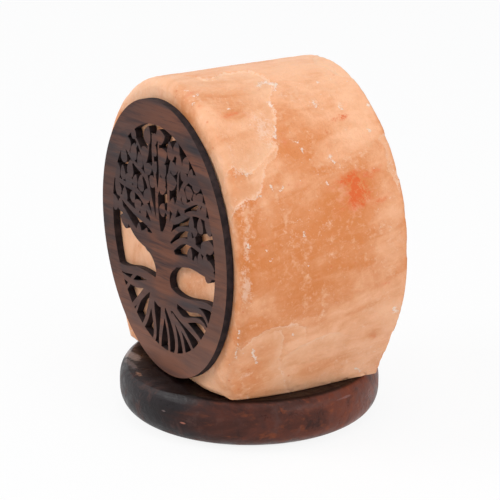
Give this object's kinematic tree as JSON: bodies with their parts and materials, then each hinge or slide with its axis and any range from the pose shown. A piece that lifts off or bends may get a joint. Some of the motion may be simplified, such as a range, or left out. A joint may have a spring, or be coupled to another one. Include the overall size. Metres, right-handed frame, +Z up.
{
  "type": "salt crystal lamp",
  "caption": "Table lamp: a drum of rock salt with a pierced wooden tree disc on its face, on a round turned base with a pull-out lampholder and bulb.",
  "frame": {"origin": "on the table, under the middle of the round base", "axes": "+Z up; -Y towards the face with the tree disc; the salt drum's axis is along Y"},
  "size_m": [0.132, 0.108, 0.1456],
  "materials": {
    "salt": "cut and rubbed rock salt, slightly waxy; opaque here",
    "dark_wood": "dark stained and waxed",
    "cut_board": "oiled board with laser-burnt edges",
    "screw_steel": "zinc plated",
    "plug_plastic": "moulded nylon",
    "foot_rubber": "moulded rubber",
    "holder_plastic": "moulded thermoset",
    "ceramic": "unglazed steatite, opaque",
    "brass": "pressed brass",
    "spring_steel": "sprung strip",
    "nickel": "nickel plated",
    "clear_glass": "clear blown glass",
    "dark_glass": "dark glass insulator",
    "solder": "dull solder",
    "wire": "drawn wire"
  },
  "bodies": {
    "lamp_body": {"salt_block": "salt", "wood_base": "dark_wood", "tree_disc": "cut_board", "base_screws": "screw_steel", "salt_plugs": "plug_plastic", "rubber_feet": "foot_rubber"},
    "lampholder": {"rear_cap": "holder_plastic", "holder_skirt": "holder_plastic", "terminal_insert": "ceramic", "threaded_shell": "brass", "centre_contact": "brass", "side_contact": "brass", "terminal_clamps": "brass", "terminal_screws": "screw_steel", "spring_clip": "spring_steel"},
    "bulb_tip": {"tip_contact": "solder"},
    "bulb": {"glass_envelope": "clear_glass", "screw_cap": "nickel", "cap_insulator": "dark_glass", "glass_stem": "clear_glass", "lead_wires": "wire", "filament": "wire"}
  },
  "joints": [
    {"name": "lampholder_pull", "type": "slide", "parent": "lamp_body", "child": "lampholder", "axis": [0, 0, -1], "range_m": [0, 0.092]},
    {"name": "bulb_rise", "type": "slide", "parent": "lampholder", "child": "bulb_tip", "axis": [0, 0, 1], "range_m": [0, 0.0141]},
    {"name": "bulb_turn", "type": "hinge", "parent": "bulb_tip", "child": "bulb", "pos_m": [0, 0, 0.031], "axis": [0, 0, 1], "range_deg": [0, 1800]}
  ],
  "couplings": [
    {"joint": "bulb_turn", "follows": "bulb_rise", "rad_per_m": 2228.1}
  ]
}
